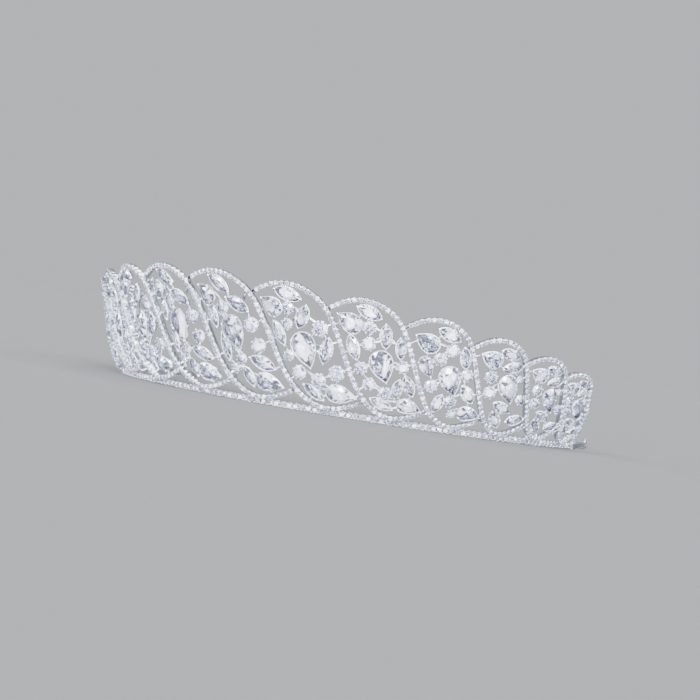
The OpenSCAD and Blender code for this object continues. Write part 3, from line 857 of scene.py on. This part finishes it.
class Ribbon:
    """The middle line of a scroll in even steps, with its directions."""

    def __init__(self, x):
        self.x, self.ends = x, scroll_ends(x)
        fine = np.linspace(*self.ends, FINE_STEPS)
        run = run_along(self.line(fine))
        self.stones = round(run[-1] / SCROLL_STONE_PITCH)
        even = np.linspace(0, run[-1], self.stones * STEPS_PER_STONE + 1)
        u = np.interp(even, run, fine)
        self.points = self.line(u)
        self.way = unit(np.gradient(self.points, axis=0))
        q = scroll_bearing(x, u)
        out = axis_out(q)
        self.out = unit(out - self.way * np.sum(out * self.way, axis=1, keepdims=True))
        self.side = np.cross(self.out, self.way)
        self.flat = np.stack([np.radians(q) * RIM_RADIUS, smooth_scroll_up(x, u)], axis=1)

    def line(self, u):
        up = smooth_scroll_up(self.x, u)
        return wall(scroll_bearing(self.x, u), up, scroll_out(u, up, *self.ends))

    def is_clear(self, i, others):
        """Whether step i stays clear of the scrolls in front of it."""
        return all(np.min(np.linalg.norm(o.flat - self.flat[i], axis=1)) > CLEAR_ROOM for o in others)


def scroll_channel(shape, ribbon):
    share = np.clip(RIBBON_PROFILE[:, 1] + SCALLOP_BACK, 0, 1)
    sections = scalloped(RIBBON_PROFILE, SCALLOP, len(ribbon.points), share)
    sweep(shape, rings_along(ribbon.points, ribbon.side, ribbon.out, sections), painted_shade_sides=CHANNEL)


def scroll_row(stones, beads, ribbon, before, after):
    """A scroll's small stones and beads, left out where a scroll before or after it lies in front."""
    for k in range(ribbon.stones):
        i = k * STEPS_PER_STONE + STEPS_PER_STONE // 2
        if not ribbon.is_clear(i, before if k < ribbon.stones // 2 else after):
            continue
        middle = ribbon.points[i] + SCROLL_STONE_SEAT * ribbon.out[i]
        small_stone(stones, middle, ribbon.way[i], ribbon.out[i], SCROLL_STONE)
        j = i + STEPS_PER_STONE // 2
        for side in (-SCROLL_BEAD_SIDE, SCROLL_BEAD_SIDE):
            middle = ribbon.points[j] + side * ribbon.side[j] + SCROLL_BEAD_SEAT * ribbon.out[j]
            bead(beads, middle, ribbon.out[j], SCROLL_BEAD)


def rim_line(start, end, steps):
    q = np.linspace(start, end, steps + 1)
    out = rows_of(sin(q), -cos(q), 0)
    middle = rows_of(RIM_RADIUS * sin(q), RIM_RADIUS - RIM_RADIUS * cos(q), RIM_HEIGHT / 2)
    return middle, axis_along(q), out


def rim_band(shape, start, end, steps, profile, painted_shade_sides=()):
    middle, _, out = rim_line(start, end, steps)
    upright = np.broadcast_to(UP, middle.shape)
    sweep(shape, rings_along(middle, upright, out, profile), painted_shade_sides=painted_shade_sides)


def rim_row(stones, beads, start, end, count):
    """The rim's small stones, and two beads between each pair of them."""
    middle, along, out = rim_line(start, end, 2 * count - 2)
    for i in range(0, len(middle), 2):
        small_stone(stones, middle[i] + RIM_STONE_SEAT * out[i], along[i], out[i], RIM_STONE)
    for i in range(1, len(middle), 2):
        for side in (-RIM_BEAD_SIDE, RIM_BEAD_SIDE):
            bead(beads, middle[i] + side * UP + RIM_BEAD_SEAT * out[i], out[i], RIM_BEAD)


ribbons = [Ribbon(x) for x in XS]
scroll_metal, scroll_stones, scroll_beads = Shape(), Shape(), Shape()
for k, ribbon in enumerate(ribbons):
    scroll_channel(scroll_metal, ribbon)
    scroll_row(scroll_stones, scroll_beads, ribbon, ribbons[max(0, k - 1):k], ribbons[k + 1:k + 2])

# The rim is a channel where the scrolls stand on it, and a plain round-edged band to its ends
rim_metal, rim_stones, rim_beads = Shape(), Shape(), Shape()
step = math.degrees(RIM_STONE_PITCH / (RIM_RADIUS + RIM_STONE_SEAT))
count = int((RIM_STONES_TO - RIM_STONES_FROM) / step)
stones_end = RIM_STONES_FROM + count * step
for start, end in ((-RIM_REACH, RIM_STONES_FROM), (stones_end, RIM_REACH)):
    rim_band(rim_metal, start, end, round(end - start), PLAIN_PROFILE)
steps = count * STEPS_PER_STONE
sections = scalloped(RIM_PROFILE, RIM_SCALLOP, steps + 1, RIM_PROFILE[:, 1] > 0)
rim_band(rim_metal, RIM_STONES_FROM, stones_end, steps, sections, CHANNEL)
rim_row(rim_stones, rim_beads, RIM_STONES_FROM + step / 2, stones_end - step / 2, count)

# The cells: claws, bright edges and rails round the stones, bars between them, and wires behind them

# Points of a stone's outline for its claws, its edge wire, its rails and its bars
CLAW_POINTS = 96
EDGE_WIRE_POINTS = 32
RAIL_POINTS = 24
BAR_POINTS = 48

# Places of the claws, as shares of the way round a stone from its tip
ROUND_CLAWS = [0.06, 0.19, 0.31, 0.44, 0.56, 0.69, 0.81, 0.94]
MARQUISE_CLAWS = [0, 0.19, 0.31, 0.5, 0.69, 0.81]
PEAR_CLAWS = [0, 0.2, 0.38, 0.62, 0.8]
# Rounds narrower than this have only four
SMALL_ROUND = 2.7
FEW_CLAWS = [0.125, 0.375, 0.625, 0.875]
# Places of the tips, where a claw is thicker
TIPS = (0, 0.5)
# Radius of the claws: the most, its share of the stone's width, on rounds, and a factor at the tips
CLAW_RADIUS = 0.24
CLAW_SHARE = 0.07
ROUND_CLAW_RADIUS = 0.155
TIP_CLAW = 1.25
# A claw rises outside the stone's lower half:
# claw radii away from the edge, share of the way from the keel to the edge, distance below the stone
CLAW_RISE = [(0, 0.5, 0.34), (0.3, 0.86, 0.3)]
# Then it bends over the edge:
# claw radii away from the edge, claw radii above the girdle, distance above that
CLAW_BEND = [(0.55, 0, -0.02), (0.2, 0.75, 0), (-1.3, 1.3, 0)]
# Its thickness: steps along it, share of the radius
CLAW_TAPER = ([0, 2, 4, 6, 7, 8], [0.7, 0.85, 1, 1, 0.9, 0.5])

# The bright wire round a stone's edge: its radius, and how far it lies outside and below the edge
EDGE_WIRE = 0.16
EDGE_WIRE_OUT = 0.08
EDGE_WIRE_BELOW = 0.1
# The two rails that carry the claws (share of the way from the keel to the edge, radius), and how far
# they lie below the stone
RAILS = [(0.84, 0.2), (0.5, 0.22)]
RAIL_BELOW = 0.3

# The short bars: their radius, where they start (share of the way from the keel to the edge, distance
# below the stone), and how far behind the middle line of a scroll they end
JOIN_RADIUS = 0.24
JOIN_SHARE = 0.88
JOIN_BELOW = 0.25
JOIN_BACK = 0.2
# The widest gaps that they cross: the usual one, to a stone's second scroll, and from an upper pear.
# Then the most bars from a stone to others.
JOIN_REACH = 1.7
SECOND_REACH = 0.8
UPPER_REACH = 3.2
MOST_JOINS = 3
# The wires behind the stones are a little thinner than the source's
LATTICE_RADIUS = 0.85 * BAR_RADIUS


def claw_places(stone):
    if stone.cut == ROUND:
        return FEW_CLAWS if stone.width < SMALL_ROUND else ROUND_CLAWS
    return MARQUISE_CLAWS if stone.cut == MARQUISE else PEAR_CLAWS


def claws(shape, stone):
    """Claws that rise outside the stone and bend over its edge."""
    edge = stone.edge(CLAW_POINTS)
    normals = edge_normals(edge)
    r = ROUND_CLAW_RADIUS if stone.cut == ROUND else min(CLAW_RADIUS, CLAW_SHARE * stone.width)
    for place in claw_places(stone):
        i = round(place * CLAW_POINTS) % CLAW_POINTS
        p, n = edge[i], normals[i]
        thick = r * TIP_CLAW if place in TIPS else r
        rise = [stone.under(p + away * thick * n, share, below) for away, share, below in CLAW_RISE]
        bend = [stone.at(p + away * thick * n, high * thick + more) for away, high, more in CLAW_BEND]
        way = rounded(np.concatenate(rise + bend), between=2)
        wire(shape, way, thick * np.interp(np.arange(len(way)), *CLAW_TAPER))


def edge_wire(shape, stone):
    edge = stone.edge(EDGE_WIRE_POINTS)
    outside = edge + EDGE_WIRE_OUT * edge_normals(edge)
    wire(shape, stone.at(outside, -EDGE_WIRE_BELOW), EDGE_WIRE, closed=True)


def rails(shape, stone):
    edge = stone.edge(RAIL_POINTS)
    for share, radius in RAILS:
        wire(shape, stone.under(edge, share, RAIL_BELOW), radius, closed=True)


def closest(some, others):
    """How near two rows of points come, and the places in the rows where they do."""
    apart = np.linalg.norm(some[:, None] - others[None], axis=2)
    a, b = np.unravel_index(np.argmin(apart), apart.shape)
    return apart[a, b], a, b


def bar(shape, a, b):
    wire(shape, np.array([a, (a + b) / 2, b]), JOIN_RADIUS)


def bar_end(stone, p):
    """Where a bar meets a stone's rails, near a point of its edge."""
    return stone.under(p, JOIN_SHARE, JOIN_BELOW)[0]


def bars_between(shape, stones, edges, outlines):
    """Bars between stones that nearly touch, the closest first."""
    gaps = []
    for i in range(len(stones)):
        for j in range(i + 1, len(stones)):
            gap, a, b = closest(outlines[i], outlines[j])
            gaps.append((gap, i, j, a, b))
    joins = [0] * len(stones)
    for gap, i, j, a, b in sorted(gaps):
        if gap < JOIN_REACH and joins[i] < MOST_JOINS and joins[j] < MOST_JOINS:
            joins[i] += 1
            joins[j] += 1
            bar(shape, bar_end(stones[i], edges[i][a]), bar_end(stones[j], edges[j][b]))


def bars_to_scrolls(shape, stones, edges, outlines, beside):
    """Bars from stones to the scrolls beside them. Gives the places of the stones that they hold."""
    held = set()
    for i, stone in enumerate(stones):
        ways = []
        for ribbon in beside[:1] if stone.cut == UPPER else beside:
            inside = ribbon.points - JOIN_BACK * ribbon.out
            gap, a, b = closest(outlines[i], inside)
            ways.append((gap - RIBBON_WIDTH / 2, a, inside[b]))
        ways.sort(key=lambda way: way[0])
        reaches = (UPPER_REACH,) if stone.cut == UPPER else (JOIN_REACH, SECOND_REACH)
        for (gap, a, end), reach in zip(ways, reaches):
            if gap < reach:
                bar(shape, bar_end(stone, edges[i][a]), end)
                held.add(i)
    return held


def solder_points(x):
    """Points in a scroll's ribbon that a wire can end in, as in the source."""
    first, last = scroll_ends(x)
    inner = [u for u in SCROLL[:, 0] if first + END_ROOM < u < last - END_ROOM]
    u = np.array([first] + inner + [last])
    up = scroll_up(x, u)
    return wall(scroll_bearing(x, u), up, scroll_out(u, up, first, last) - RIBBON_BACK / 2)


def nearest(point, others):
    return others[np.argmin(np.linalg.norm(others - point, axis=1))]


def knot(stone):
    """Where a wire passes below a stone."""
    return stone.at(stone.culet, -stone.depth - STONE_GAP - BAR_RADIUS)[0]


def wires_behind(shape, c, stones, held):
    """A cell's wires. One runs on into a scroll only where no bar holds its last stone."""
    ends = {OWN: solder_points(cell_x(c)), PREVIOUS: solder_points(cell_x(c) - 1)}
    for path in WIRES[CELL_LAYOUT[c]]:
        points = []
        for i, stop in enumerate(path):
            beside = path[1 if i == 0 else i - 1]
            if stop >= 0:
                points.append(knot(stones[stop]))
            elif beside not in held:
                points.append(nearest(stones[beside].middle, ends[stop]))
        if len(points) > 1:
            wire(shape, rounded(points, between=6), LATTICE_RADIUS, sides=8)


cells = [[placed(c, row) for row in LAYOUTS[CELL_LAYOUT[c]]] for c in range(CELLS)]
claw_metal, edge_metal, rail_metal, bar_metal, lattice = Shape(), Shape(), Shape(), Shape(), Shape()
for c, stones in enumerate(cells):
    for stone in stones:
        claws(claw_metal, stone)
        if stone.cut != ROUND:
            edge_wire(edge_metal, stone)
        rails(rail_metal, stone)
    edges = [stone.edge(BAR_POINTS) for stone in stones]
    outlines = [stone.at(edge) for stone, edge in zip(stones, edges)]
    bars_between(bar_metal, stones, edges, outlines)
    held = bars_to_scrolls(bar_metal, stones, edges, outlines, ribbons[c:c + 2])
    wires_behind(lattice, c, stones, held)

# The loops behind the rim and the rings at its ends

RING_POINTS = 48


def at_rim(q, out, z, points):
    """Places points round a fitting: x along the rim, y to the back and z up."""
    x, y = points[:, 0], points[:, 1] - RIM_RADIUS - out
    return rows_of(x * cos(q) - y * sin(q), RIM_RADIUS + x * sin(q) + y * cos(q), z + points[:, 2])


def wire_ring(length, height, along):
    """The middle line of a standing ring, along the rim or square to it."""
    a = np.linspace(0, 360, RING_POINTS, endpoint=False)
    across = (length - WIRE * length / height) / 2 * cos(a)
    high = (height - WIRE) / 2 * sin(a)
    return rows_of(across, 0, high) if along else rows_of(0, across, high)


fittings = Shape()
for side in (-1, 1):
    loop = wire_ring(LOOP_SIZE, LOOP_SIZE, along=False)
    ring = wire_ring(END_RING_LENGTH, END_RING_HEIGHT, along=True)
    for line in (
        at_rim(side * LOOP_BEARING, -RIM_DEPTH / 2, LOOP_SIZE / 2 + LOOP_LIFT, loop),
        at_rim(side * (RIM_REACH + END_RING_TURN), 0, END_RING_HEIGHT / 2, ring),
    ):
        wire(fittings, line, WIRE / 2, sides=10, closed=True)

# name, shape, looks, slot, angle from which an edge is sharp
for name, shape, looks, slot, sharp_from in (
    ("scroll_metal", scroll_metal, [metal, painted_shade_metal], "metal", 40),
    ("scroll_beads", scroll_beads, [painted_glint_metal], "metal", 80),
    ("scroll_diamonds", scroll_stones, [small_diamond], "diamond", None),
    ("rim_metal", rim_metal, [metal, painted_shade_metal], "metal", 40),
    ("rim_beads", rim_beads, [painted_glint_metal], "metal", 80),
    ("rim_diamonds", rim_stones, [small_diamond], "diamond", None),
    ("claws", claw_metal, [painted_glint_metal], "metal", 60),
    ("edge_wires", edge_metal, [satin_metal], "metal", 60),
    ("collets", rail_metal, [metal], "metal", 50),
    ("joining_bars", bar_metal, [metal], "metal", 60),
    ("lattice_wires", lattice, [metal], "metal", 60),
    ("loops_and_end_rings", fittings, [metal], "metal", 60),
):
    piece(name, shape, looks, slot, ["frame"], sharp_from)

# The cut stones: rounds and marquises as one piece each, every pear its own
PEARS = {SIDE: "side", UPPER: "upper", CENTRE: "centre", LOWER: "lower"}
numbers = dict.fromkeys(PEARS, 0)
joined = {ROUND: Shape(), MARQUISE: Shape()}
for stones in cells:
    for stone in stones:
        if stone.cut in joined:
            gem(joined[stone.cut], stone)
            continue
        numbers[stone.cut] += 1
        kind, number = PEARS[stone.cut], numbers[stone.cut]
        shape = Shape()
        gem(shape, stone)
        name = f"{kind}_pear_diamond_{number}"
        piece(name, shape, [large_diamond], "diamond", [f"{kind}_pear_{number}"])
piece("round_diamonds", joined[ROUND], [large_diamond], "diamond", ["rounds"])
piece("marquise_diamonds", joined[MARQUISE], [large_diamond], "diamond", ["marquises"])

# Studio: a pale floor, a pale surround and wide soft lights. Lengths are in metres from here on.

FLOOR_TONE = 0.235
FLOOR_REACH = 40
# azimuth, elevation, strength and width of each light, in degrees and watts per square metre
LIGHTS = {
    "key": (-12, 30, 2.6, 18),
    "front": (42, 20, 1.9, 12),
    "left": (-62, 16, 1.2, 10),
    "right": (100, 24, 1.0, 10),
    "back": (190, 60, 1.4, 24),
}
# Strength of the even light on the floor and on rough surfaces
AMBIENT = 0.36
# What the camera sees past the floor: its tint, and its strength as a share of the floor's, which match
# it to the lit floor
SEEN_TINT = (0.925, 0.954, 1, 1)
SEEN_SHARE = 1.755
# Small bright panels all round, which only reflections and the stones show: their strength and that of
# the gaps between them, their tint, how fine they are and how soft their edges
PANELS = 18.0
GAPS = 0.05
PANEL_TINT = (0.84, 0.91, 1, 1)
PANEL_SCALE = 26
PANEL_EDGES = (0.51, 0.54)
# The middle of the bright side, as azimuth and elevation, the cosines between which it fades, and what
# is left behind the tiara for the stones and for reflections
BRIGHT_SIDE = (25, 15)
BRIGHT_FADE = (-0.1, 0.7)
BEHIND_STONES = 0.04
BEHIND_METAL = 0.06


def towards(azimuth, elevation):
    """The direction from the tiara to a viewer or a light."""
    return np.array([sin(azimuth) * cos(elevation), -cos(azimuth) * cos(elevation), sin(elevation)])


def pale_floor():
    look, tree, shader = material("pale floor")
    tone = placed_group(tree, TONE, {
        "Tone": (FLOOR_TONE, FLOOR_TONE, FLOOR_TONE, 1),
        "Other tone": (0.99 * FLOOR_TONE, 0.99 * FLOOR_TONE, 0.995 * FLOOR_TONE, 1),
        "Clouds per metre": 3,
    })
    connect(tree, [(tone, "Colour", shader, "Base Color")])
    shader.inputs["Roughness"].default_value = 0.8
    shader.inputs["Specular IOR Level"].default_value = 0
    mesh = bpy.data.meshes.new("floor")
    corners = [(-1, -1), (1, -1), (1, 1), (-1, 1)]
    mesh.from_pydata([(FLOOR_REACH * x, FLOOR_REACH * y, 0) for x, y in corners], [], [(0, 1, 2, 3)])
    mesh.materials.append(look)
    floor = set_up("floor", mesh)
    # The stones and the metal see the panels all round, also those that the floor would hide
    floor.visible_glossy = floor.visible_transmission = False


def panel_strength(tree, rays):
    """A node that gives the strength of the panels in each direction."""
    direction = node(tree, "ShaderNodeTexCoord")
    patches = node(tree, "ShaderNodeTexNoise", {"Scale": PANEL_SCALE, "Detail": 0.5})
    low, high = PANEL_EDGES
    edges = {"From Min": low, "From Max": high, "To Min": GAPS, "To Max": PANELS}
    panel = node(tree, "ShaderNodeMapRange", edges)
    in_front = node(tree, "ShaderNodeVectorMath", {1: towards(*BRIGHT_SIDE)}, operation="DOT_PRODUCT")
    behind = node(tree, "ShaderNodeMix", {"A": BEHIND_STONES, "B": BEHIND_METAL}, data_type="FLOAT")
    low, high = BRIGHT_FADE
    edges = {"From Min": low, "From Max": high}
    fade = node(tree, "ShaderNodeMapRange", edges, interpolation_type="SMOOTHSTEP")
    together = node(tree, "ShaderNodeMath", operation="MULTIPLY")
    connect(tree, [
        (direction, "Generated", patches, "Vector"),
        (direction, "Generated", in_front, 0),
        (patches, "Fac", panel, "Value"),
        (in_front, "Value", fade, "Value"),
        (rays, "Is Glossy Ray", behind, "Factor"),
        (behind, "Result", fade, "To Min"),
        (panel, "Result", together, 0),
        (fade, "Result", together, 1),
    ])
    return together


def surround():
    """Even light for rough surfaces, panels for reflections and stones, and a plain sky to be seen."""
    world = bpy.data.worlds.new("studio")
    bpy.context.scene.world = world
    world.use_nodes = True
    tree = world.node_tree
    lights = sum(strength * sin(height) for _, height, strength, _ in LIGHTS.values())
    seen = tree.nodes["Background"]
    seen.inputs["Color"].default_value = SEEN_TINT
    seen.inputs["Strength"].default_value = SEEN_SHARE * FLOOR_TONE * (lights / math.pi + AMBIENT)
    ambient = node(tree, "ShaderNodeBackground", {"Strength": AMBIENT})
    panels = node(tree, "ShaderNodeBackground", {"Color": PANEL_TINT})
    rays = node(tree, "ShaderNodeLightPath")
    strength = panel_strength(tree, rays)
    unseen = node(tree, "ShaderNodeMixShader")
    whole = node(tree, "ShaderNodeMixShader")
    connect(tree, [
        (strength, 0, panels, "Strength"),
        (rays, "Is Diffuse Ray", unseen, "Fac"),
        (panels, 0, unseen, 1),
        (ambient, 0, unseen, 2),
        (rays, "Is Camera Ray", whole, "Fac"),
        (unseen, 0, whole, 1),
        (seen, 0, whole, 2),
        (whole, 0, tree.nodes["World Output"], "Surface"),
    ])


pale_floor()
surround()
for name, (azimuth, elevation, strength, width) in LIGHTS.items():
    light = bpy.data.lights.new(name, "SUN")
    light.energy, light.angle = strength, math.radians(width)
    lamp = set_up(name, light)
    lamp.rotation_mode = "QUATERNION"
    lamp.rotation_quaternion = Vector(towards(azimuth, elevation)).to_track_quat("Z", "Y")

# The photograph's camera, raised just enough to stand above the floor. Its lens and sensor are in
# millimetres.
AZIMUTH, ELEVATION, ROLL = 30.0, 0.5, 9.268
CAMERA_PLACE = (0.27803, -0.4147, 0.02346)
LENS, SENSOR = 89.57, 36
back = towards(AZIMUTH, ELEVATION)
right = unit(np.cross(-back, UP))
up = np.cross(right, -back)
right, up = right * cos(ROLL) + up * sin(ROLL), up * cos(ROLL) - right * sin(ROLL)
camera = set_up("camera", bpy.data.cameras.new("camera"))
camera.data.sensor_width, camera.data.lens = SENSOR, LENS
camera.data.clip_start = 0.01
turn = Matrix(np.stack([right, up, back], axis=1).tolist())
camera.matrix_world = Matrix.Translation(CAMERA_PLACE) @ turn.to_4x4()
bpy.context.scene.camera = camera
